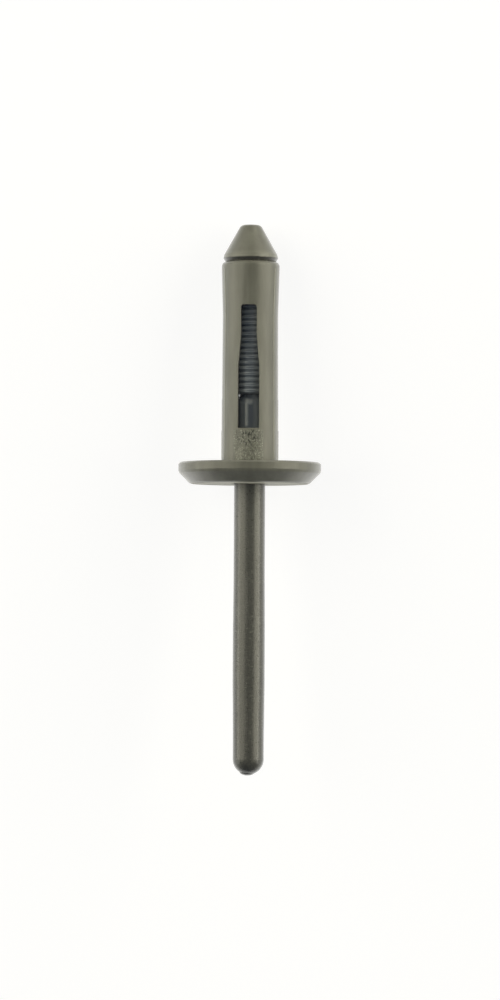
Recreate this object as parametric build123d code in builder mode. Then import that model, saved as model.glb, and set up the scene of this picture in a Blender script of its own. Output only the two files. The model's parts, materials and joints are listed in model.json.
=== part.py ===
"""Plastic blind rivet as supplied: a slotted nylon sleeve with a wide flange, and its pull mandrel.

It lies on a floor at z = 0, resting on the flange's rim and on the edge of the mandrel's conical
head. The rivet's own axis lies in the Y-Z plane: the head points to +Y and leans down, and the
pull stem points to -Y and is raised.

Two pieces are made:
  rivet_body  flange, collar, three folding legs and end ring, moulded in one
  mandrel     conical head, ratchet rings, break notch and pull stem, moulded in one
"""

import os
from math import atan2, cos, radians, sin, tan

from build123d import *

# ---------------------------------------------------------------------------------------------
# Driving dimensions, in millimetres and degrees. "At" is a place along the rivet's axis, counted
# from the flange's bearing face: positive towards the conical head, negative towards the stem.
# ---------------------------------------------------------------------------------------------

# Flange
flange_radius = 8.0
flange_thickness = 2.4
flange_rim_height = 1.1
flange_bevel_angle = 45.0
flange_seat_edge_chamfer = 0.2
flange_bevel_edge_chamfer = 0.16

# Sleeve, outside
collar_radius = 3.175
collar_end_at = 6.9
collar_step_run = 0.3
leg_radius = 3.145
waist_radius = 3.10
waist_at = 16.5
sleeve_tip_radius = 3.245
sleeve_tip_at = 21.7
sleeve_end_at = 22.52
sleeve_tip_edge_radius = 0.5

# Sleeve, inside
bore_radius = 1.95
bore_mouth_chamfer = 0.2
lip_count = 3
lip_radius = 1.80
lip_face_run = 0.10
lip_crest_run = 0.12
lip_ramp_run = 0.30
first_lip_at = -1.9

# Slots between the legs
leg_count = 3
slot_start_at = 3.76
slot_end_at = 17.58
slot_wide_width = 2.36
slot_narrow_width = 1.75
slot_flare_start_at = 10.7
slot_flare_end_at = 14.1
slot_end_corner_radius = 0.3
slot_sill_chamfer = 0.18

# Mandrel, head
head_seat_gap = 0.05
head_seat_radius = 2.85
head_undercut_height = 0.35
head_land_radius = 3.06
head_land_height = 0.28
head_top_at = 26.7
head_cone_half_angle = 29.3
head_land_edge_chamfer = 0.2
head_top_edge_radius = 0.6

# Mandrel, ratchet rings
ring_pitch = 0.635
ring_count = 16
ring_crest_radius = 1.90
ring_root_radius = 1.65
ring_ramp_run = 0.235
ring_crest_run = 0.22
ring_lock_run = 0.18
first_ring_at = 7.655

# Mandrel, break notch and stem
notch_radius = 1.28
notch_floor_run = 0.14
notch_wall_run = 0.06
notch_start_at = 7.36
neck_radius = 1.42
neck_start_at = 7.22
shoulder_start_at = 6.65
shoulder_edge_radius = 0.6
stem_radius = 1.75
grip_radius = 1.795
grip_start_at = -18.5
grip_end_at = -25.0
grip_taper_run = 6.0
stem_tip_radius = 1.735
stem_tip_at = -34.96

# ---------------------------------------------------------------------------------------------
# Derived sizes
# ---------------------------------------------------------------------------------------------

flange_face_at = -flange_thickness
flange_face_radius = flange_radius - (flange_thickness - flange_rim_height) / tan(
    radians(flange_bevel_angle)
)
head_seat_at = sleeve_end_at + head_seat_gap
head_land_start_at = head_seat_at + head_undercut_height
head_land_end_at = head_land_start_at + head_land_height
head_top_radius = head_land_radius - (head_top_at - head_land_end_at) * tan(
    radians(head_cone_half_angle)
)
rings_end_at = first_ring_at + ring_count * ring_pitch
stem_dome_centre_at = stem_tip_at + stem_tip_radius

# It rests on two edges: the outer edge of the flange's chamfer, and the near edge of the chamfer
# between the head's land and its cone. The floor touches both, which sets how far it leans.
flange_contact_at = -flange_seat_edge_chamfer
head_contact_at = head_land_end_at - head_land_edge_chamfer
lean = atan2(flange_radius - head_land_radius, head_contact_at - flange_contact_at)
seat_height = flange_radius * cos(lean) + flange_contact_at * sin(lean)

# Front to back, the middle lies halfway between the stem's tip and the rounded edge of the head.
head_reach = (
    (head_top_at - head_top_edge_radius) * cos(lean)
    + (head_top_radius - head_top_edge_radius * tan(radians(45 - head_cone_half_angle / 2)))
    * sin(lean)
    + head_top_edge_radius
)
stem_reach = stem_dome_centre_at * cos(lean) - stem_tip_radius
seat_centre = Vector(0, -(head_reach + stem_reach) / 2, seat_height)

# ---------------------------------------------------------------------------------------------
# The rivet's own directions
# ---------------------------------------------------------------------------------------------

towards_head = Vector(0, cos(lean), -sin(lean))
out_of_top = Vector(0, sin(lean), cos(lean))
sideways = Vector(1, 0, 0)
rivet_axis = Axis(seat_centre, towards_head)

# Half-profiles are drawn here as (place along the axis, distance out from it).
profile_plane = Plane(seat_centre, x_dir=towards_head, z_dir=sideways)


def facing_plane(angle):
    """A plane through the axis that faces outward, turned by an angle from the topmost line."""
    turn = radians(angle)
    outward = out_of_top * cos(turn) + sideways * sin(turn)
    return Plane(seat_centre, x_dir=towards_head, z_dir=outward)


def lengthwise_plane(angle):
    """A plane that holds the axis and the outward direction at an angle from the topmost line."""
    turn = radians(angle)
    across = sideways * cos(turn) - out_of_top * sin(turn)
    return Plane(seat_centre, x_dir=towards_head, z_dir=across)


def corner(sketch, at, out):
    """The corner of a half-profile that lies nearest to a place."""
    return sketch.vertices().sort_by_distance((at, out))[0]


def ring_points(start_at, pitch, count, low, high, rise, crest, fall):
    """Outline points of a row of rings: each rises, runs level and falls.

    A ring that fills its whole pitch ends where the next one starts, at one shared point.
    """
    fills_pitch = rise + crest + fall > pitch - 0.001
    points = []
    for number in range(count):
        at = start_at + number * pitch
        if number == 0 or not fills_pitch:
            points.append((at, low))
        points.append((at + rise, high))
        points.append((at + rise + crest, high))
        points.append((at + rise + crest + fall, low))
    return points


# ---------------------------------------------------------------------------------------------
# Rivet body: one moulding
# ---------------------------------------------------------------------------------------------

# The lips inside the collar have a steep face towards the stem and a ramp towards the head, so
# the mandrel's rings can be pulled in past them and can't go back.
lip_points = ring_points(
    first_lip_at,
    ring_pitch,
    lip_count,
    bore_radius,
    lip_radius,
    lip_face_run,
    lip_crest_run,
    lip_ramp_run,
)

with BuildPart() as rivet_body:
    with BuildSketch(profile_plane) as body_profile:
        with BuildLine():
            Polyline(
                (sleeve_end_at, sleeve_tip_radius),
                (sleeve_end_at, bore_radius + bore_mouth_chamfer),
                (sleeve_end_at - bore_mouth_chamfer, bore_radius),
                *reversed(lip_points),
                (flange_face_at + bore_mouth_chamfer, bore_radius),
                (flange_face_at, bore_radius + bore_mouth_chamfer),
                (flange_face_at, flange_face_radius),
                (-flange_rim_height, flange_radius),
                (0, flange_radius),
                (0, collar_radius),
                (collar_end_at, collar_radius),
                (collar_end_at + collar_step_run, leg_radius),
                (waist_at, waist_radius),
                (sleeve_tip_at, sleeve_tip_radius),
                close=True,
            )
        make_face()
        chamfer(corner(body_profile, 0, flange_radius), length=flange_seat_edge_chamfer)
        chamfer(
            corner(body_profile, -flange_rim_height, flange_radius),
            length=flange_bevel_edge_chamfer,
        )
        chamfer(
            corner(body_profile, flange_face_at, flange_face_radius),
            length=flange_bevel_edge_chamfer,
        )
        fillet(
            corner(body_profile, sleeve_end_at, sleeve_tip_radius),
            radius=sleeve_tip_edge_radius,
        )
    revolve(axis=rivet_axis)

    for number in range(leg_count):
        slot_angle = number * 360 / leg_count
        # Each slot is wide by the collar and narrows halfway up, so the legs fold low down.
        with BuildSketch(facing_plane(slot_angle)) as slot:
            with BuildLine():
                half_slot = Polyline(
                    (slot_start_at, 0),
                    (slot_start_at, slot_wide_width / 2),
                    (slot_flare_start_at, slot_wide_width / 2),
                    (slot_flare_end_at, slot_narrow_width / 2),
                    (slot_end_at, slot_narrow_width / 2),
                    (slot_end_at, 0),
                )
                mirror(half_slot, about=Plane.XZ)
            make_face()
            fillet(
                slot.vertices().group_by(Axis.X)[-1],
                radius=slot_end_corner_radius,
            )
        extrude(amount=flange_radius, mode=Mode.SUBTRACT)
        # The sill, the slot's end wall by the collar, is bevelled where it meets the outside.
        with BuildSketch(lengthwise_plane(slot_angle)):
            with BuildLine():
                Polyline(
                    (slot_start_at - slot_sill_chamfer, collar_radius),
                    (slot_start_at, collar_radius - slot_sill_chamfer),
                    (slot_start_at + slot_sill_chamfer, collar_radius + slot_sill_chamfer),
                    (slot_start_at - slot_sill_chamfer, collar_radius + slot_sill_chamfer),
                    close=True,
                )
            make_face()
        extrude(amount=slot_wide_width / 2, both=True, mode=Mode.SUBTRACT)

# ---------------------------------------------------------------------------------------------
# Mandrel: one moulding
# ---------------------------------------------------------------------------------------------

# The rings have a ramp towards the stem and a steeper face towards the head.
mandrel_rings = ring_points(
    first_ring_at,
    ring_pitch,
    ring_count,
    ring_root_radius,
    ring_crest_radius,
    ring_ramp_run,
    ring_crest_run,
    ring_lock_run,
)

with BuildPart() as mandrel:
    with BuildSketch(profile_plane) as mandrel_profile:
        with BuildLine():
            dome = RadiusArc(
                (stem_tip_at, 0), (stem_dome_centre_at, stem_tip_radius), stem_tip_radius
            )
            Polyline(
                dome @ 1,
                (grip_end_at - grip_taper_run, stem_tip_radius),
                (grip_end_at, grip_radius),
                (grip_start_at, grip_radius),
                (grip_start_at + grip_taper_run, stem_radius),
                (shoulder_start_at, stem_radius),
                (neck_start_at, neck_radius),
                (notch_start_at, neck_radius),
                (notch_start_at + notch_wall_run, notch_radius),
                (notch_start_at + notch_wall_run + notch_floor_run, notch_radius),
                *mandrel_rings,
                (rings_end_at, stem_radius),
                (head_seat_at, stem_radius),
                (head_seat_at, head_seat_radius),
                (head_land_start_at, head_land_radius),
                (head_land_end_at, head_land_radius),
                (head_top_at, head_top_radius),
                (head_top_at, 0),
                dome @ 0,
            )
        make_face()
        fillet(
            corner(mandrel_profile, shoulder_start_at, stem_radius),
            radius=shoulder_edge_radius,
        )
        chamfer(
            corner(mandrel_profile, head_land_end_at, head_land_radius),
            length=head_land_edge_chamfer,
        )
        fillet(
            corner(mandrel_profile, head_top_at, head_top_radius),
            radius=head_top_edge_radius,
        )
    revolve(axis=rivet_axis)

# ---------------------------------------------------------------------------------------------
# Output
# ---------------------------------------------------------------------------------------------

rivet_body.part.label = "rivet_body"
mandrel.part.label = "mandrel"

os.makedirs("parts", exist_ok=True)
export_step(rivet_body.part, "parts/rivet_body.step")
export_step(mandrel.part, "parts/mandrel.step")
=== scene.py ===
"""Plastic blind rivet: the look of its two nylon mouldings, lying on a pale floor.

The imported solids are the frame. Both stay as they are and get their finishes here, and the marks
that moulding leaves are added over them: the rough pads that the three slides press into the
collar, the fine parting lines, and the nub where the stem was cut from its runner.

Lengths in the classes are millimetres in the rivet's own directions: "at" runs along its axis from
the flange's bearing face, positive towards the conical head, and "out" is the distance from the
axis. Turns round the axis are degrees from the topmost line.
"""

import json
import logging
import math
from dataclasses import dataclass, field
from enum import Enum
from typing import Any, Mapping, Sequence

import bmesh
import bpy
from mathutils import Matrix, Vector, noise


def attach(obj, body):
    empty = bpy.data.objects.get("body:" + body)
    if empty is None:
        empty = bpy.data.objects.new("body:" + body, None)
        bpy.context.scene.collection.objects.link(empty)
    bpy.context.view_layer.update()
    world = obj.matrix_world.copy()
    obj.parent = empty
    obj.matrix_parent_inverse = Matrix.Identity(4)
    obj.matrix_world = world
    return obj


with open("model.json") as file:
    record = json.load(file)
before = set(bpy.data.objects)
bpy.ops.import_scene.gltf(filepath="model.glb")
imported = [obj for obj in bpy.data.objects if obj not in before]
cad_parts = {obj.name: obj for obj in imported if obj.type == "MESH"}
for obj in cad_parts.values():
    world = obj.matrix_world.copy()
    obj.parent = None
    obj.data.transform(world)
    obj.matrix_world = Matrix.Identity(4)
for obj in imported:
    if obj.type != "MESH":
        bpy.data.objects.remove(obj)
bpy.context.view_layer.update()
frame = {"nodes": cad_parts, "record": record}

log = logging.getLogger("rivet")

MM = 0.001
WHITE = "#ffffff"
SOFT_WHITE = "#fffdf2"
WARM_WHITE = "#fffae2"


def linear(hex_colour: str) -> tuple[float, float, float, float]:
    """Turn an sRGB hex colour into the linear colour that a shader takes.

    Args:
        hex_colour: six hex digits, with or without a leading #.

    Returns:
        Red, green, blue and an alpha of 1.
    """
    digits = hex_colour.lstrip("#")
    channels = [int(digits[i : i + 2], 16) / 255 for i in (0, 2, 4)]
    red, green, blue = (
        c / 12.92 if c <= 0.04045 else ((c + 0.055) / 1.055) ** 2.4 for c in channels
    )
    return (red, green, blue, 1.0)


def add_node(
    tree: bpy.types.NodeTree,
    kind: str,
    options: Mapping[str, Any] | None = None,
    inputs: Mapping[str | int, Any] | None = None,
) -> bpy.types.Node:
    """Add a node with its settings and links.

    Args:
        tree: the node tree that it goes into.
        kind: the node's class name.
        options: the node's own properties, by name.
        inputs: for each input, by name or number, a value or the socket that feeds it.

    Returns:
        The new node.
    """
    node = tree.nodes.new(kind)
    for name, value in (options or {}).items():
        setattr(node, name, value)
    for key, value in (inputs or {}).items():
        if isinstance(value, bpy.types.NodeSocket):
            tree.links.new(value, node.inputs[key])
        else:
            node.inputs[key].default_value = value
    return node


@dataclass(frozen=True)
class RivetAxes:
    """Where the rivet lies: its bearing-face centre and its own three directions."""

    seat: Vector
    towards_head: Vector
    out_of_top: Vector
    sideways: Vector

    @classmethod
    def from_record(cls, record: Mapping[str, Any]) -> "RivetAxes":
        """Read the axes from the collar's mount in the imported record.

        Args:
            record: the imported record.

        Returns:
            The rivet's axes, in the row frame.
        """
        collar = next(m for m in record["mounts"] if m["name"] == "shank")
        towards_head = Vector(collar["axis"]).normalized()
        half_length = collar["dims"]["length_mm"] / 2 * MM
        seat = Vector(collar["pos_m"]) - towards_head * half_length
        sideways = Vector((1.0, 0.0, 0.0))
        out_of_top = sideways.cross(towards_head).normalized()
        return cls(seat, towards_head, out_of_top, sideways)

    @property
    def lean(self) -> float:
        """Give how far the head leans down from the horizontal, in radians."""
        return math.atan2(-self.towards_head.z, self.towards_head.y)

    def point(self, at: float, out: float = 0.0, turn: float = 0.0) -> Vector:
        """Find a place on the rivet.

        Args:
            at: millimetres along the axis.
            out: millimetres from the axis.
            turn: degrees round the axis from the topmost line, towards +X.

        Returns:
            The point in the row frame, in metres.
        """
        angle = math.radians(turn)
        outward = self.out_of_top * math.cos(angle) + self.sideways * math.sin(angle)
        return self.seat + self.towards_head * at * MM + outward * out * MM

    def matrix(self) -> Matrix:
        """Give the matrix from the rivet's millimetres (sideways, along, out) to the row frame."""
        turn = Matrix((self.sideways, self.towards_head, self.out_of_top)).transposed()
        return Matrix.Translation(self.seat) @ turn.to_4x4() @ Matrix.Scale(MM, 4)


class Surface(Enum):
    """How the tool left a moulded face, or how the face has worn since."""

    SATIN = "satin"
    FLASH = "flash"
    SPARKED = "sparked"
    RUBBED = "rubbed"


class Measure(Enum):
    """What a fade goes by: a place on the rivet, the eye's slant, or the resin's own pattern."""

    AT = "millimetres along the axis"
    ASIDE = "millimetres sideways from the axis"
    OUT = "millimetres out from the axis"
    FROM_RING_TOP = "millimetres along the axis from the middle of the nearest ring's top"
    FROM_SLOT = "radians round the axis from the middle of the nearest slot"
    SLANT = "how far the face turns from the eye, 0 face on and 1 edge on"
    GRAIN = "the grain of the tool"
    FLOW = "the streaks of the melt"

    def between(self, start: float, end: float, soft: float) -> tuple["Fade", "Fade"]:
        """Give the two fades that bound a stretch, each softened inside its end."""
        return Fade(self, start, start + soft), Fade(self, end, end - soft)


@dataclass(frozen=True)
class Pattern:
    """A cloudy pattern over the rivet, mostly from 0.3 to 0.7, which a fade can go by.

    The size is how wide its clouds are, in millimetres: sideways, along the axis and out of the
    top. A pattern with a stem radius is wrapped round that stem, and its first width is round it.
    """

    size: tuple[float, float, float]
    detail: float
    roughness: float
    askew: float = 0.0
    stem_radius: float | None = None

    def build(self, measures: "Measures") -> bpy.types.NodeSocket:
        """Add the pattern to a material.

        Args:
            measures: the material's measures.

        Returns:
            The socket that carries the pattern.
        """
        place = measures.unrolled(self.stem_radius) if self.stem_radius else measures.place
        sized = add_node(
            measures.tree,
            "ShaderNodeMapping",
            inputs={
                "Vector": place,
                "Rotation": (0.0, 0.0, math.radians(self.askew)),
                "Scale": tuple(1 / width for width in self.size),
            },
        )
        clouds = add_node(
            measures.tree,
            "ShaderNodeTexNoise",
            inputs={
                "Vector": sized.outputs["Vector"],
                "Scale": 1.0,
                "Detail": self.detail,
                "Roughness": self.roughness,
            },
        )
        return clouds.outputs["Fac"]


@dataclass
class Measures:
    """The measures of one material, each added to its nodes when it is first asked for."""

    tree: bpy.types.NodeTree
    axes: RivetAxes
    grain: Pattern
    flow: Pattern
    slots: int = 3
    ring_pitch: float = 0.635
    ring_top_at: float = 8.0
    place: bpy.types.NodeSocket = field(init=False)
    aside: bpy.types.NodeSocket = field(init=False)
    at: bpy.types.NodeSocket = field(init=False)
    up: bpy.types.NodeSocket = field(init=False)
    built: dict[Measure | Pattern, bpy.types.NodeSocket] = field(
        init=False, default_factory=dict
    )

    def __post_init__(self) -> None:
        """Add the place in millimetres: sideways, along the axis, and out of the top."""
        coordinates = add_node(self.tree, "ShaderNodeTexCoord")
        mapping = add_node(
            self.tree,
            "ShaderNodeMapping",
            {"vector_type": "TEXTURE"},
            {
                "Vector": coordinates.outputs["Object"],
                "Location": self.axes.seat,
                "Rotation": (-self.axes.lean, 0.0, 0.0),
                "Scale": (MM, MM, MM),
            },
        )
        self.place = mapping.outputs["Vector"]
        parts = add_node(self.tree, "ShaderNodeSeparateXYZ", inputs={"Vector": self.place})
        self.aside, self.at, self.up = parts.outputs

    def __getitem__(self, measure: Measure | Pattern) -> bpy.types.NodeSocket:
        """Give the socket that carries a measure.

        Args:
            measure: which measure.

        Returns:
            Its socket, which is added now if it wasn't there yet.
        """
        if measure not in self.built:
            self.built[measure] = self._add(measure)
        return self.built[measure]

    def _add(self, measure: Measure | Pattern) -> bpy.types.NodeSocket:
        """Add one measure.

        Args:
            measure: which measure.

        Returns:
            The socket that carries it.
        """
        match measure:
            case Measure.AT:
                return self.at
            case Measure.ASIDE:
                return self.aside
            case Measure.OUT:
                return self._out()
            case Measure.FROM_RING_TOP:
                return self._from_ring_top()
            case Measure.FROM_SLOT:
                return self._from_slot()
            case Measure.SLANT:
                slant = add_node(self.tree, "ShaderNodeLayerWeight", inputs={"Blend": 0.5})
                return slant.outputs["Facing"]
            case Measure.GRAIN:
                return self.grain.build(self)
            case Measure.FLOW:
                return self.flow.build(self)
        return measure.build(self)

    def _out(self) -> bpy.types.NodeSocket:
        """Add the distance from the axis.

        Returns:
            The socket that carries it.
        """
        across = add_node(
            self.tree, "ShaderNodeCombineXYZ", inputs={"X": self.aside, "Z": self.up}
        )
        length = add_node(
            self.tree,
            "ShaderNodeVectorMath",
            {"operation": "LENGTH"},
            {0: across.outputs["Vector"]},
        )
        return length.outputs["Value"]

    def _around(self) -> bpy.types.NodeSocket:
        """Add the angle round the axis from the topmost line.

        Returns:
            The socket that carries it, in radians.
        """
        angle = add_node(
            self.tree, "ShaderNodeMath", {"operation": "ARCTAN2"}, {0: self.aside, 1: self.up}
        )
        return angle.outputs["Value"]

    def _from_slot(self) -> bpy.types.NodeSocket:
        """Add the angle from the middle of the nearest slot.

        Returns:
            The socket that carries it, in radians.
        """
        angle = add_node(
            self.tree,
            "ShaderNodeMath",
            {"operation": "PINGPONG"},
            {0: self._around(), 1: math.pi / self.slots},
        )
        return angle.outputs["Value"]

    def _from_ring_top(self) -> bpy.types.NodeSocket:
        """Add the distance along the axis from the middle of the nearest ring's top.

        Returns:
            The socket that carries it.
        """
        past = add_node(
            self.tree,
            "ShaderNodeMath",
            {"operation": "SUBTRACT"},
            {0: self.at, 1: self.ring_top_at},
        )
        distance = add_node(
            self.tree,
            "ShaderNodeMath",
            {"operation": "PINGPONG"},
            {0: past.outputs["Value"], 1: self.ring_pitch / 2},
        )
        return distance.outputs["Value"]

    def unrolled(self, radius: float) -> bpy.types.NodeSocket:
        """Add the place as on an unrolled stem: the way round it, then the way along it.

        Args:
            radius: the stem's radius in millimetres.

        Returns:
            The socket that carries the place, in millimetres.
        """
        way_round = add_node(
            self.tree,
            "ShaderNodeMath",
            {"operation": "MULTIPLY"},
            {0: self._around(), 1: radius},
        )
        flat = add_node(
            self.tree,
            "ShaderNodeCombineXYZ",
            inputs={"X": way_round.outputs["Value"], "Y": self.at},
        )
        return flat.outputs["Vector"]


@dataclass(frozen=True)
class Fade:
    """A share that goes evenly from its least to 1 while a measure goes from none to full.

    It holds its least and 1 past the two ends.
    """

    measure: Measure | Pattern
    none_at: float
    full_at: float
    least: float = 0.0

    def build(self, measures: Measures) -> bpy.types.NodeSocket:
        """Add the fade to a material.

        Args:
            measures: the material's measures.

        Returns:
            The socket that carries the share.
        """
        share = add_node(
            measures.tree,
            "ShaderNodeMapRange",
            {"clamp": True},
            {
                "Value": measures[self.measure],
                "From Min": self.none_at,
                "From Max": self.full_at,
                "To Min": self.least,
            },
        )
        return share.outputs["Result"]


@dataclass(frozen=True)
class Patch:
    """A place where something shows: where all of its fades meet."""

    fades: tuple[Fade, ...]

    def build(self, measures: Measures) -> bpy.types.NodeSocket:
        """Add the patch to a material.

        Args:
            measures: the material's measures.

        Returns:
            The socket that carries how much shows, from 0 to 1.
        """
        share, *others = (fade.build(measures) for fade in self.fades)
        for other in others:
            share = add_node(
                measures.tree,
                "ShaderNodeMath",
                {"operation": "MULTIPLY"},
                {0: share, 1: other},
            ).outputs["Value"]
        return share


@dataclass(frozen=True)
class Mark:
    """A tone that lies over the resin in some patches, and what it adds to the roughness there."""

    tone: str
    patches: tuple[Patch, ...]
    strength: float = 1.0
    rougher: float = 0.0

    def build(self, measures: Measures) -> bpy.types.NodeSocket:
        """Add the mark's share to a material.

        Args:
            measures: the material's measures.

        Returns:
            The socket that carries the share, which follows the patch that shows most.
        """
        share, *others = (patch.build(measures) for patch in self.patches)
        steps = [("MAXIMUM", other) for other in others]
        if self.strength < 1.0:
            steps.append(("MULTIPLY", self.strength))
        for operation, value in steps:
            share = add_node(
                measures.tree,
                "ShaderNodeMath",
                {"operation": operation},
                {0: share, 1: value},
            ).outputs["Value"]
        return share


@dataclass(frozen=True)
class Relief:
    """Something that stands some millimetres out of the grain, or is sunk in it if below 0."""

    shape: Fade
    height: float


@dataclass(frozen=True)
class MouldedNylon:
    """Olive-grey nylon 6/6 as it leaves the mould.

    The resin is dark and takes its paler look from the fine grain of the tool, which spreads the
    reflections of the lamps, so the flanks of each round form look milky and the middle stays deep.
    Its skin is closed and smooth, so it shines where it is seen at a slant and its edges look pale.
    The real grain is too fine to show, so it is drawn about five times as coarse.
    """

    surface: Surface
    deep: str
    pale: str
    roughness: float
    roughness_play: float = 0.05
    bloom: float = 0.18
    bloom_spread: float = 0.3
    bloom_tint: str = "#f6f5ea"
    skin: Patch = Patch((Fade(Measure.SLANT, 0.3, 0.62),))
    skin_roughness: float = 0.22
    grain: float = 0.16
    grain_depth: float = 0.006
    grain_range: tuple[float, float] = (0.3, 0.7)
    flow: float = 1.3
    flow_stretch: float = 6.25
    streaks: Fade = Fade(Measure.FLOW, 0.32, 0.68)
    edge_round: float = 0.06
    ior: float = 1.53

    def marks(self) -> tuple[Mark, ...]:
        """Give the marks over the streaked resin, the lowest first."""
        return ()

    def reliefs(self) -> tuple[Relief, ...]:
        """Give what stands out of the grain or is sunk in it."""
        return ()

    def build(self, axes: RivetAxes) -> bpy.types.Material:
        """Make the material.

        Args:
            axes: the rivet's axes, which centre and turn every pattern.

        Returns:
            The node-based material.
        """
        material = bpy.data.materials.new(f"moulded_nylon_{self.surface.value}")
        material.use_nodes = True
        tree = material.node_tree
        tree.nodes.clear()
        measures = Measures(
            tree,
            axes,
            grain=Pattern((self.grain,) * 3, detail=2.5, roughness=0.62),
            flow=Pattern(
                (self.flow, self.flow * self.flow_stretch, self.flow),
                detail=4.0,
                roughness=0.55,
            ),
        )
        marks = (Mark(self.pale, (Patch((self.streaks,)),)), *self.marks())
        shares = [(mark, mark.build(measures)) for mark in marks]
        rounded = add_node(
            tree, "ShaderNodeBevel", {"samples": 4}, {"Radius": self.edge_round * MM}
        )
        bump = add_node(
            tree,
            "ShaderNodeBump",
            inputs={
                "Strength": 1.0,
                "Distance": self.grain_depth * MM,
                "Height": self._height(measures),
                "Normal": rounded.outputs["Normal"],
            },
        )
        shader = add_node(
            tree,
            "ShaderNodeBsdfPrincipled",
            inputs={
                "Base Color": self._colour(tree, shares),
                "Roughness": self._roughness(measures, shares),
                "IOR": self.ior,
                "Sheen Weight": self.bloom,
                "Sheen Roughness": self.bloom_spread,
                "Sheen Tint": linear(self.bloom_tint),
                "Coat Weight": self.skin.build(measures),
                "Coat Roughness": self.skin_roughness,
                "Coat IOR": self.ior,
                "Normal": bump.outputs["Normal"],
                "Coat Normal": rounded.outputs["Normal"],
            },
        )
        add_node(
            tree, "ShaderNodeOutputMaterial", inputs={"Surface": shader.outputs["BSDF"]}
        )
        return material

    def _colour(
        self, tree: bpy.types.NodeTree, shares: Sequence[tuple[Mark, bpy.types.NodeSocket]]
    ) -> bpy.types.NodeSocket:
        """Make the colour: deep resin with each mark laid over it.

        Args:
            tree: the material's nodes.
            shares: each mark with the socket that carries its share.

        Returns:
            The socket with the colour.
        """
        colour = linear(self.deep)
        for mark, share in shares:
            colour = add_node(
                tree,
                "ShaderNodeMix",
                {"data_type": "RGBA", "clamp_factor": True},
                {"Factor": share, "A": colour, "B": linear(mark.tone)},
            ).outputs["Result"]
        return colour

    def _roughness(
        self, measures: Measures, shares: Sequence[tuple[Mark, bpy.types.NodeSocket]]
    ) -> bpy.types.NodeSocket:
        """Make the roughness, a little higher on the grain's tops than in its dips.

        Args:
            measures: the material's measures.
            shares: each mark with the socket that carries its share.

        Returns:
            The socket with the roughness.
        """
        low, high = self.grain_range
        roughness = add_node(
            measures.tree,
            "ShaderNodeMapRange",
            {"clamp": True},
            {
                "Value": measures[Measure.GRAIN],
                "From Min": low,
                "From Max": high,
                "To Min": self.roughness - self.roughness_play,
                "To Max": self.roughness + self.roughness_play,
            },
        ).outputs["Result"]
        for mark, share in shares:
            if mark.rougher:
                roughness = add_node(
                    measures.tree,
                    "ShaderNodeMath",
                    {"operation": "MULTIPLY_ADD"},
                    {0: share, 1: mark.rougher, 2: roughness},
                ).outputs["Value"]
        return roughness

    def _height(self, measures: Measures) -> bpy.types.NodeSocket:
        """Make the fine relief, counted in grain depths.

        Args:
            measures: the material's measures.

        Returns:
            The socket with the height.
        """
        height = measures[Measure.GRAIN]
        for relief in self.reliefs():
            height = add_node(
                measures.tree,
                "ShaderNodeMath",
                {"operation": "MULTIPLY_ADD"},
                {
                    0: relief.shape.build(measures),
                    1: relief.height / self.grain_depth,
                    2: height,
                },
            ).outputs["Value"]
        return height


@dataclass(frozen=True)
class SparkedNylon(MouldedNylon):
    """Nylon moulded against bare spark-eroded steel: rough, pale on its tops, with painted shade in
    its pits.

    The slides drag as they open, which draws the pits out along the rivet. The painted shade in
    them is darkest next to the slots and in the middle of each pad.
    """

    tops: str = "#9b9c91"
    tops_strength: float = 0.75
    on_tops: Fade = Fade(Measure.GRAIN, 0.53, 0.66)
    # Painted shade: the pits are darkened, most next to the slots and in the middle of each pad.
    pits: str = "#262823"
    in_pits: Fade = Fade(Pattern((0.19, 0.46, 0.19), detail=1.5, roughness=0.6), 0.50, 0.40)
    mid_pad: Fade = Fade(Measure.FROM_SLOT, 0.4409, 0.2075, least=0.2)
    near_slot: Fade = Fade(Measure.AT, 1.1, 2.7, least=0.25)

    def marks(self) -> tuple[Mark, ...]:
        """Give the tops, which are rubbed pale, and the pits, darkened with painted shade.

        Returns:
            The marks, the lowest first.
        """
        return (
            Mark(self.tops, (Patch((self.on_tops,)),), self.tops_strength),
            Mark(self.pits, (Patch((self.in_pits, self.mid_pad, self.near_slot)),)),
        )

    def reliefs(self) -> tuple[Relief, ...]:
        """Give the pits, which are as deep as the grain."""
        return (Relief(self.in_pits, -self.grain_depth),)


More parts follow.
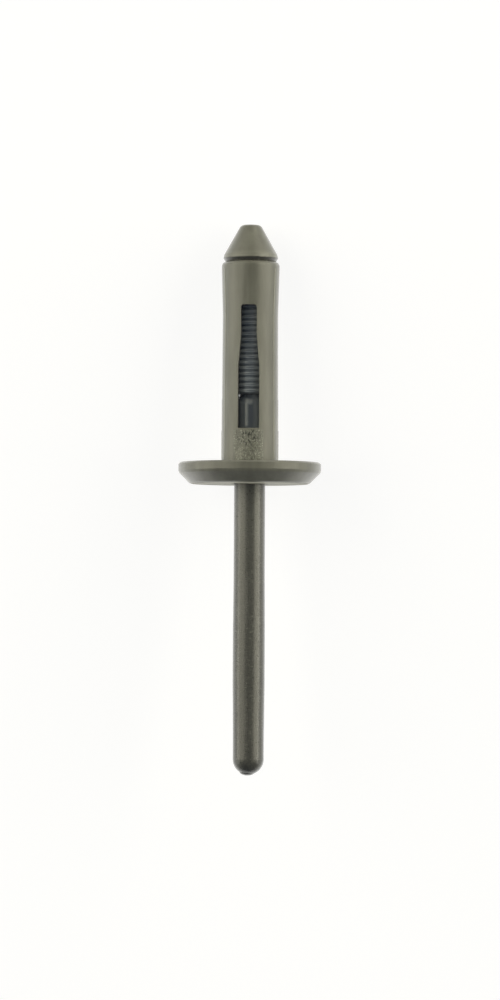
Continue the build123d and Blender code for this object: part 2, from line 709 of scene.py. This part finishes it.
@dataclass(frozen=True)
class RubbedNylon(MouldedNylon):
    """Nylon from a polished mould, scuffed, and painted paler up the stem towards the flange as
    painted light.

    Inside the sleeve's bore it is still smooth and glossy, and painted paler and bluer as painted
    light, paler still away from the middle of each slot. The head keeps the sleeve's satin look,
    below its land the colour is darkened as painted shade, and the edge round its foot is painted
    paler as a painted highlight. The rings' grooves are painted pale as painted light where a slot
    leaves them open, and their tops are painted paler along both edges there as painted
    highlights; so are the shoulder below the break notch and one line of the stem beside it.
    """

    scuffs: str = "#8d8d80"
    scuffs_strength: float = 0.22
    scuffs_height: float = 0.008
    scuffed: Fade = Fade(
        Pattern(
            (0.41667, 0.21739, 1.0), detail=3.0, roughness=0.7, askew=9.0, stem_radius=1.75
        ),
        0.55,
        0.68,
    )
    # Painted light: the stem is painted paler towards the flange, where the flange's shadow falls
    # on it.
    flange_side_painted_light: str = "#61615a"
    flange_side_painted_light_strength: float = 0.6
    towards_flange: Fade = Fade(Measure.AT, -11.0, -3.0)
    # Painted light: inside the bore the colour is paler and bluer than outside, and paler still
    # away from the middle of each slot, where the slot walls shade it.
    bore: str = "#666c72"
    bore_side_painted_light: str = "#81878d"
    bore_roughness: float = 0.13
    past_flange: Fade = Fade(Measure.AT, 2.0, 2.3)
    below_slot: Fade = Fade(Measure.FROM_SLOT, 0.5, 0.22)
    # Painted light: the grooves between the rings are painted pale where a slot leaves them open,
    # against the shade in them.
    grooves: str = "#9299a0"
    in_groove: Fade = Fade(Measure.OUT, 1.86, 1.74)
    # Painted highlight: the rings' tops are painted paler along both edges where a slot leaves them
    # open.
    crests: str = "#b0b7bd"
    on_crest: Fade = Fade(Measure.OUT, 1.81, 1.88)
    crest_edges: Fade = Fade(Measure.FROM_RING_TOP, 0.033, 0.0935, least=0.1)
    rings: tuple[float, float] = (7.6825, 19.0)
    ring_soft: float = 0.1
    # Painted highlight: the glint on the shoulder below the break notch and on one line of the stem
    # beside it.
    rubbed: str = "#a9adab"
    glint_paint_strength: float = 0.75
    glint_paint_soft: float = 0.3
    shoulder: tuple[float, float] = (6.35, 7.22)
    shoulder_sides: tuple[float, float] = (-0.52, 0.52)
    line: tuple[float, float] = (3.9, 6.9)
    line_sides: tuple[float, float] = (-0.53, -0.03)
    line_side_soft: float = 0.22
    # Painted shade: the colour is darkened from 22 mm along the axis up to the head's land, for the
    # gap under the head.
    undercut_painted_shade: str = "#1b1c1a"
    undercut_painted_shade_strength: float = 0.6
    in_undercut: Fade = Fade(Measure.AT, 21.9, 22.0)
    satin: str = "#56564d"
    satin_streaks: str = "#66665d"
    satin_roughness: float = 0.44
    on_head: Fade = Fade(Measure.AT, 22.93, 22.95)
    # Painted highlight: the edge round the head's foot is painted paler for the light that it
    # catches.
    foot_edge_painted_highlight: str = "#8c8d83"
    foot_edge_painted_highlight_strength: float = 0.25
    on_foot_edge: Patch = Patch((Fade(Measure.OUT, 2.73, 3.03), Fade(Measure.AT, 22.99, 23.05)))

    def marks(self) -> tuple[Mark, ...]:
        """Give the scuffs, the marks of the bore, the rings and the shoulder, and the head.

        Returns:
            The marks, the lowest first.
        """
        return (
            Mark(self.scuffs, (Patch((self.scuffed,)),), self.scuffs_strength),
            Mark(self.flange_side_painted_light, (Patch((self.towards_flange,)),), self.flange_side_painted_light_strength),
            *self._bore_marks(),
            self._painted_glint_mark(),
            Mark(self.undercut_painted_shade, (Patch((self.in_undercut,)),), self.undercut_painted_shade_strength),
            Mark(
                self.satin,
                (Patch((self.on_head,)),),
                rougher=self.satin_roughness - self.roughness,
            ),
            Mark(self.satin_streaks, (Patch((self.on_head, self.streaks)),)),
            Mark(self.foot_edge_painted_highlight, (self.on_foot_edge,), self.foot_edge_painted_highlight_strength),
        )

    def reliefs(self) -> tuple[Relief, ...]:
        """Give the scuffs, whose sides are thrown up."""
        return (Relief(self.scuffed, self.scuffs_height),)

    def _bore_marks(self) -> tuple[Mark, ...]:
        """Give the stretch in the bore, painted paler as painted light and less pale below a slot,
        and the rings' grooves and crests, painted pale as painted light and painted highlights.

        Returns:
            The marks, the lowest first.
        """
        start, end = self.rings
        before_end = Fade(Measure.AT, end + self.ring_soft, end)
        in_bore = (self.past_flange, before_end)
        in_grooves = (
            self.in_groove,
            *Measure.AT.between(start, end, self.ring_soft),
            self.below_slot,
        )
        on_crests = (self.on_crest, before_end, self.crest_edges, self.below_slot)
        return (
            Mark(
                self.bore_side_painted_light,
                (Patch(in_bore),),
                rougher=self.bore_roughness - self.roughness,
            ),
            Mark(self.bore, (Patch((*in_bore, self.below_slot)),)),
            Mark(self.grooves, (Patch(in_grooves),)),
            Mark(self.crests, (Patch(on_crests),)),
        )

    def _painted_glint_mark(self) -> Mark:
        """Give the painted highlight on the shoulder and on the line beside it.

        Returns:
            The mark, with a patch for each.
        """
        shoulder = (
            *Measure.AT.between(*self.shoulder, self.glint_paint_soft),
            *Measure.ASIDE.between(*self.shoulder_sides, self.glint_paint_soft),
        )
        line = (
            *Measure.AT.between(*self.line, self.glint_paint_soft),
            *Measure.ASIDE.between(*self.line_sides, self.line_side_soft),
        )
        return Mark(self.rubbed, (Patch(shoulder), Patch(line)), self.glint_paint_strength)


def finish_piece(
    name: str,
    mesh: bmesh.types.BMesh,
    axes: RivetAxes,
    material: bpy.types.Material,
) -> bpy.types.Object:
    """Turn a mesh in the rivet's own millimetres into a dressed piece that rides with the part.

    Args:
        name: the piece's name.
        mesh: the mesh, which is freed.
        axes: the rivet's axes.
        material: its finish.

    Returns:
        The new object, with its place in its mesh.
    """
    bmesh.ops.transform(mesh, matrix=axes.matrix(), verts=mesh.verts)
    bmesh.ops.recalc_face_normals(mesh, faces=mesh.faces)
    for face in mesh.faces:
        face.smooth = True
    data = bpy.data.meshes.new(name)
    mesh.to_mesh(data)
    mesh.free()
    data.materials.append(material)
    piece = bpy.data.objects.new(name, data)
    bpy.context.scene.collection.objects.link(piece)
    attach(piece, "root")
    log.info("%s: %d faces", name, len(data.polygons))
    return piece


def dress_node(node: bpy.types.Object, material: bpy.types.Material) -> None:
    """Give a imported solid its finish.

    Args:
        node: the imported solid's object.
        material: its finish.
    """
    for slot in node.material_slots:
        slot.material = material
    log.info("%s: dressed with %s", node.name, material.name)


@dataclass
class RivetBody:
    """The flange, collar, folding legs and end ring, moulded in one, with its slide marks.

    The skin is rubbed off the flange's outer face, which the tool presses, so it stays dull.
    """

    axes: RivetAxes
    collar_radius: float = 3.175
    slot_turns: Sequence[float] = (0.0, 120.0, 240.0)
    pad_from: float = 0.18
    pad_to: float = 3.55
    pad_half_width: float = 1.66
    pad_proud: float = 0.022
    pad_sunk: float = 0.033
    pad_grit: float = 0.014
    pad_grit_size: float = 0.17
    pad_step: float = 0.06
    ridge_profile: Sequence[tuple[float, float]] = (
        (0.3, 3.175),
        (6.9, 3.175),
        (7.2, 3.145),
        (16.5, 3.10),
        (21.7, 3.245),
    )
    ridge_width: float = 0.24
    ridge_proud: float = 0.01
    ridge_depth: float = 0.06
    ridge_round: float = 0.006
    finish: MouldedNylon = MouldedNylon(
        surface=Surface.SATIN,
        deep="#56564d",
        pale="#66665d",
        roughness=0.44,
        bloom=0.3,
        skin=Patch((Fade(Measure.SLANT, 0.3, 0.62), Fade(Measure.AT, -2.38, -2.30))),
    )
    # The flash is painted a little paler than the body: painted light that offsets the shade along
    # its sides.
    ridge_finish: MouldedNylon = MouldedNylon(
        surface=Surface.FLASH,
        deep="#66665a",
        pale="#767668",
        roughness=0.40,
        bloom=0.3,
    )
    pad_finish: SparkedNylon = SparkedNylon(
        surface=Surface.SPARKED,
        deep="#54554c",
        pale="#6c6d63",
        roughness=0.42,
        grain_depth=0.03,
        flow=0.7,
    )

    def dress(self, node: bpy.types.Object) -> None:
        """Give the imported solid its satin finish."""
        dress_node(node, self.finish.build(self.axes))

    def add_parting_ridges(self) -> list[bpy.types.Object]:
        """Add the fine ridge that runs down the sleeve wherever two slides of the mould meet.

        Returns:
            One piece for each meeting line, midway between two slots.
        """
        material = self.ridge_finish.build(self.axes)
        half_gap = 180.0 / len(self.slot_turns)
        return [
            finish_piece(
                f"parting_ridge_{number}",
                self._ridge(turn + half_gap),
                self.axes,
                material,
            )
            for number, turn in enumerate(self.slot_turns, start=1)
        ]

    def _ridge(self, turn: float) -> bmesh.types.BMesh:
        """Build one ridge: a strip along the sleeve's profile, given depth and rounded edges.

        Args:
            turn: degrees round the axis.

        Returns:
            The ridge in the rivet's own millimetres.
        """
        mesh = bmesh.new()
        line = [
            mesh.verts.new((-self.ridge_width / 2, at, out + self.ridge_proud))
            for at, out in self.ridge_profile
        ]
        edges = [mesh.edges.new(pair) for pair in zip(line, line[1:])]
        strip = bmesh.ops.extrude_edge_only(mesh, edges=edges)["geom"]
        bmesh.ops.translate(
            mesh,
            vec=(self.ridge_width, 0.0, 0.0),
            verts=[v for v in strip if isinstance(v, bmesh.types.BMVert)],
        )
        bmesh.ops.recalc_face_normals(mesh, faces=mesh.faces)
        sides = [edge for edge in mesh.edges if edge.is_boundary]
        sunk = bmesh.ops.extrude_face_region(mesh, geom=list(mesh.faces))["geom"]
        bmesh.ops.translate(
            mesh,
            vec=(0.0, 0.0, -self.ridge_depth),
            verts=[v for v in sunk if isinstance(v, bmesh.types.BMVert)],
        )
        bmesh.ops.bevel(
            mesh,
            geom=sides,
            offset=self.ridge_round,
            offset_type="OFFSET",
            segments=2,
            profile=0.5,
            affect="EDGES",
            material=-1,
        )
        bmesh.ops.rotate(
            mesh,
            cent=(0.0, 0.0, 0.0),
            matrix=Matrix.Rotation(math.radians(turn), 3, "Y"),
            verts=mesh.verts,
        )
        return mesh

    def add_slide_pads(self) -> list[bpy.types.Object]:
        """Add the sparked pad that each slide leaves on the collar below its slot.

        Returns:
            One piece for each slot.
        """
        material = self.pad_finish.build(self.axes)
        return [
            finish_piece(
                f"slide_pad_{number}",
                self._pad(turn),
                self.axes,
                material,
            )
            for number, turn in enumerate(self.slot_turns, start=1)
        ]

    def _pad(self, turn: float) -> bmesh.types.BMesh:
        """Build one pad: a thin skin on the collar, roughened as the sparked slide was.

        Args:
            turn: degrees round the axis of the pad's middle.

        Returns:
            The pad in the rivet's own millimetres.
        """
        radius = self.collar_radius + self.pad_proud
        half_angle = math.asin(self.pad_half_width / radius)
        mesh = bmesh.new()
        turned = Matrix.Rotation(math.radians(turn) - half_angle, 4, "Y")
        ends = [
            mesh.verts.new(turned @ Vector((0.0, at, radius)))
            for at in (self.pad_from, self.pad_to)
        ]
        side = mesh.edges.new(ends)
        rows = round((self.pad_to - self.pad_from) / self.pad_step)
        bmesh.ops.subdivide_edges(mesh, edges=[side], cuts=rows - 1)
        bmesh.ops.spin(
            mesh,
            geom=list(mesh.edges) + list(mesh.verts),
            cent=(0.0, 0.0, 0.0),
            axis=(0.0, 1.0, 0.0),
            angle=2 * half_angle,
            steps=round(2 * half_angle * radius / self.pad_step),
            use_merge=False,
        )
        bmesh.ops.remove_doubles(mesh, verts=mesh.verts, dist=1e-5)
        for vert in mesh.verts:
            if not vert.is_boundary:
                outward = Vector((vert.co.x, 0.0, vert.co.z)).normalized()
                vert.co += outward * self.pad_grit * noise.noise(vert.co / self.pad_grit_size)
        rim = [edge for edge in mesh.edges if edge.is_boundary]
        skirt = bmesh.ops.extrude_edge_only(mesh, edges=rim)["geom"]
        for vert in (v for v in skirt if isinstance(v, bmesh.types.BMVert)):
            outward = Vector((vert.co.x, 0.0, vert.co.z)).normalized()
            vert.co -= outward * (self.pad_proud + self.pad_sunk)
        return mesh


@dataclass
class Mandrel:
    """The conical head, ratchet rings and pull stem, moulded in one."""

    axes: RivetAxes
    stem_tip_at: float = -34.96
    nub_radius: float = 0.9
    nub_depth: float = 0.5
    nub_proud: float = 0.1
    nub_aside: float = -0.1
    finish: RubbedNylon = RubbedNylon(
        surface=Surface.RUBBED,
        deep="#3d3d39",
        pale="#4b4b46",
        roughness=0.30,
        bloom=0.2,
        grain=0.2,
        grain_depth=0.005,
    )

    def dress(self, node: bpy.types.Object) -> bpy.types.Material:
        """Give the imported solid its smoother, scuffed finish.

        Args:
            node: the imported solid's object.

        Returns:
            The finish, for the parts of the same moulding that are added over it.
        """
        material = self.finish.build(self.axes)
        dress_node(node, material)
        return material

    def add_gate_nub(self, material: bpy.types.Material) -> bpy.types.Object:
        """Add the low nub that is left on the stem's tip where it was cut from its runner.

        Args:
            material: the mandrel's own finish.

        Returns:
            The nub.
        """
        mesh = bmesh.new()
        bmesh.ops.create_uvsphere(mesh, u_segments=32, v_segments=16, radius=1.0)
        bmesh.ops.scale(
            mesh,
            vec=(self.nub_radius, self.nub_radius, self.nub_depth),
            verts=mesh.verts,
        )
        bmesh.ops.rotate(
            mesh,
            cent=(0.0, 0.0, 0.0),
            matrix=Matrix.Rotation(math.radians(90.0), 3, "X"),
            verts=mesh.verts,
        )
        bmesh.ops.translate(
            mesh,
            vec=(self.nub_aside, self.stem_tip_at + self.nub_depth - self.nub_proud, 0.0),
            verts=mesh.verts,
        )
        return finish_piece("gate_nub", mesh, self.axes, material)


@dataclass(frozen=True)
class SoftBox:
    """A soft rectangular lamp that faces the rivet."""

    name: str
    at: float
    away: float
    turn: float
    size: tuple[float, float]
    radiance: float
    colour: str

    def build(self, axes: RivetAxes, target: Vector) -> bpy.types.Object:
        """Make the lamp.

        Args:
            axes: the rivet's axes, from which the lamp is placed.
            target: the point that it faces.

        Returns:
            The lamp's object.
        """
        data = bpy.data.lights.new(self.name, "AREA")
        data.shape = "RECTANGLE"
        data.size, data.size_y = (side * MM for side in self.size)
        data.energy = self.radiance * math.pi * data.size * data.size_y
        data.color = linear(self.colour)[:3]
        lamp = bpy.data.objects.new(self.name, data)
        lamp.location = axes.point(self.at, self.away, self.turn)
        back = (lamp.location - target).normalized()
        across = axes.towards_head.cross(back).normalized()
        lamp.rotation_euler = (
            Matrix((across.cross(back), across, back)).transposed().to_euler()
        )
        bpy.context.scene.collection.objects.link(lamp)
        return lamp


@dataclass
class Studio:
    """The floor, the lamps, the surroundings and the camera."""

    axes: RivetAxes
    floor_size: float = 3000.0
    floor_shade: str = "#f4f4f2"
    floor_glow: float = 0.85
    floor_seen: float = 0.25
    floor_roughness: float = 0.6
    surround: float = 0.12
    surround_tint: str = "#bcd2ff"
    lens: float = 160.6
    clip: tuple[float, float] = (50.0, 20000.0)
    camera_at: float = -19.2
    camera_away: float = 500.0
    camera_turn: float = 3.5
    look_at: float = -4.2
    look_aside: float = 0.05
    roll: float = 0.3
    lamps: Sequence[SoftBox] = (
        SoftBox("left_box", 150.0, 600.0, -56.0, (560.0, 740.0), 2.8, WARM_WHITE),
        SoftBox("right_box", 150.0, 600.0, 64.0, (560.0, 500.0), 3.7, WARM_WHITE),
        SoftBox("low_left_box", -40.0, 480.0, -82.0, (460.0, 110.0), 2.8, SOFT_WHITE),
        SoftBox("low_right_box", -40.0, 480.0, 82.0, (460.0, 110.0), 2.8, SOFT_WHITE),
        SoftBox("head_left_box", 520.0, 420.0, -62.0, (360.0, 360.0), 1.6, WARM_WHITE),
        SoftBox("head_right_box", 520.0, 420.0, 62.0, (360.0, 360.0), 3.4, WARM_WHITE),
    )

    def build(self) -> None:
        """Make the whole studio."""
        self._set_view()
        self._floor()
        self._world()
        for lamp in self.lamps:
            lamp.build(self.axes, self.axes.point(0.0))
        self._camera()

    def _set_view(self) -> None:
        """Show colours as they are, with no film look."""
        bpy.context.scene.view_settings.view_transform = "Standard"

    def _floor(self) -> None:
        """Lay a floor of matt paper, which looks evenly white and keeps the rivet's shadow."""
        mesh = bmesh.new()
        bmesh.ops.create_grid(
            mesh, x_segments=4, y_segments=4, size=self.floor_size / 2 * MM
        )
        data = bpy.data.meshes.new("floor")
        mesh.to_mesh(data)
        mesh.free()
        material = bpy.data.materials.new("matt_white_paper")
        material.use_nodes = True
        tree = material.node_tree
        tree.nodes.clear()
        path = add_node(tree, "ShaderNodeLightPath")
        seen = add_node(
            tree,
            "ShaderNodeMath",
            {"operation": "MAXIMUM"},
            {0: path.outputs["Is Camera Ray"], 1: path.outputs["Is Glossy Ray"]},
        )
        shade = linear(self.floor_shade)
        faint = tuple(self.floor_seen * channel for channel in shade[:3]) + (1.0,)
        tint = add_node(
            tree,
            "ShaderNodeMix",
            {"data_type": "RGBA"},
            {"Factor": seen.outputs["Value"], "A": shade, "B": faint},
        )
        paper = add_node(
            tree,
            "ShaderNodeBsdfDiffuse",
            inputs={"Color": tint.outputs["Result"], "Roughness": self.floor_roughness},
        )
        strength = add_node(
            tree,
            "ShaderNodeMath",
            {"operation": "MULTIPLY"},
            {0: seen.outputs["Value"], 1: self.floor_glow},
        )
        glow = add_node(
            tree,
            "ShaderNodeEmission",
            inputs={"Color": linear(WHITE), "Strength": strength.outputs["Value"]},
        )
        both = add_node(
            tree,
            "ShaderNodeAddShader",
            inputs={0: paper.outputs["BSDF"], 1: glow.outputs["Emission"]},
        )
        add_node(
            tree, "ShaderNodeOutputMaterial", inputs={"Surface": both.outputs["Shader"]}
        )
        data.materials.append(material)
        floor = bpy.data.objects.new("floor", data)
        bpy.context.scene.collection.objects.link(floor)

    def _world(self) -> None:
        """Make the plain surroundings: a soft bluish light, white where the camera sees past."""
        world = bpy.data.worlds.new("surroundings")
        bpy.context.scene.world = world
        world.use_nodes = True
        tree = world.node_tree
        tree.nodes.clear()
        path = add_node(tree, "ShaderNodeLightPath")
        dim = add_node(
            tree,
            "ShaderNodeBackground",
            inputs={"Color": linear(self.surround_tint), "Strength": self.surround},
        )
        white = add_node(tree, "ShaderNodeBackground", inputs={"Color": linear(WHITE)})
        mixed = add_node(
            tree,
            "ShaderNodeMixShader",
            inputs={
                0: path.outputs["Is Camera Ray"],
                1: dim.outputs["Background"],
                2: white.outputs["Background"],
            },
        )
        add_node(
            tree, "ShaderNodeOutputWorld", inputs={"Surface": mixed.outputs["Shader"]}
        )

    def _camera(self) -> None:
        """Set the camera over the rivet, a little to its stem's side, with the head upward."""
        data = bpy.data.cameras.new("camera")
        data.lens = self.lens
        data.clip_start, data.clip_end = (distance * MM for distance in self.clip)
        camera = bpy.data.objects.new("camera", data)
        place = self.axes.point(self.camera_at, self.camera_away, self.camera_turn)
        aim = self.axes.point(self.look_at) + self.axes.sideways * self.look_aside * MM
        back = (place - aim).normalized()
        right = self.axes.towards_head.cross(back).normalized()
        turn = Matrix((right, back.cross(right), back)).transposed().to_4x4()
        turn = turn @ Matrix.Rotation(math.radians(self.roll), 4, "Z")
        camera.matrix_world = Matrix.Translation(place) @ turn
        bpy.context.scene.collection.objects.link(camera)
        bpy.context.scene.camera = camera


def main() -> None:
    """Dress the rivet, then build the studio round it."""
    logging.basicConfig(level=logging.INFO, format="%(name)s: %(message)s")
    axes = RivetAxes.from_record(frame["record"])
    body = RivetBody(axes)
    body.dress(frame["nodes"]["rivet_body"])
    body.add_parting_ridges()
    body.add_slide_pads()
    mandrel = Mandrel(axes)
    mandrel.add_gate_nub(mandrel.dress(frame["nodes"]["mandrel"]))
    Studio(axes).build()


if __name__ == "__main__":
    main()
